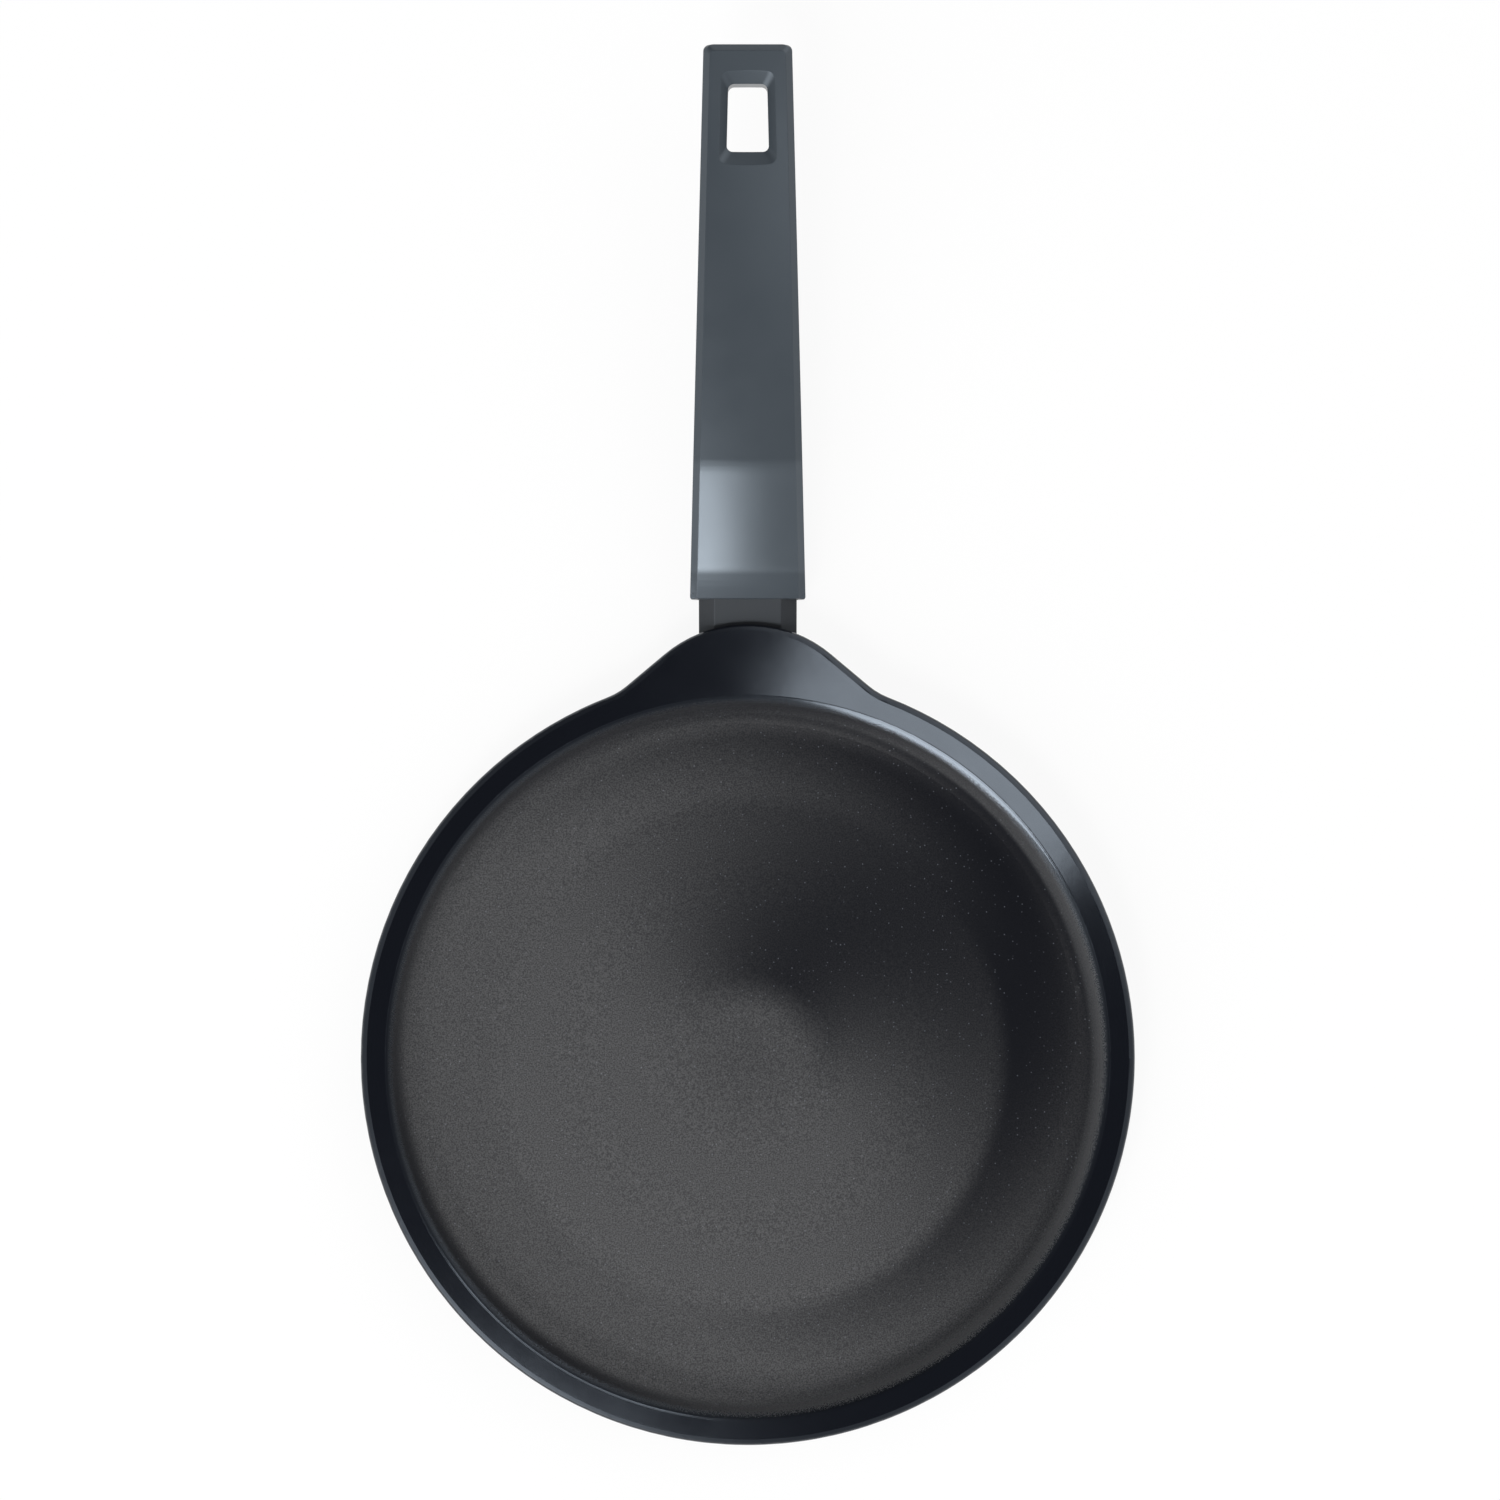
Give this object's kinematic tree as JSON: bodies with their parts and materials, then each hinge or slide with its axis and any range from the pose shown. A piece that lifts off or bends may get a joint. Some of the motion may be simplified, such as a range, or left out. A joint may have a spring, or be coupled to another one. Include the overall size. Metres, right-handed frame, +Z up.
{
  "type": "crepe pan",
  "caption": "Shallow round crepe pan with a wide flanged rim, a flared nose over the neck and a long bevelled handle with a hang hole.",
  "frame": {"origin": "centre of the round base, on the plane the pan rests on", "axes": "+Z up out of the bowl; +Y from the centre of the pan along the handle"},
  "size_m": [0.28, 0.503, 0.0511],
  "materials": {
    "coated_aluminium": "die-cast aluminium with a speckled dark grey non-stick coating inside and gloss black on the flange",
    "disc_steel": "turned stainless steel",
    "guard_paint": "satin black-brown paint",
    "handle_plastic": "satin blue-grey soft-touch moulding",
    "screw_steel": "plain stainless steel"
  },
  "bodies": {
    "root": {"pan_body": "coated_aluminium", "induction_disc": "disc_steel", "flame_guard": "guard_paint", "handle": "handle_plastic", "handle_screw": "screw_steel", "screw_washer": "screw_steel"}
  },
  "joints": []
}
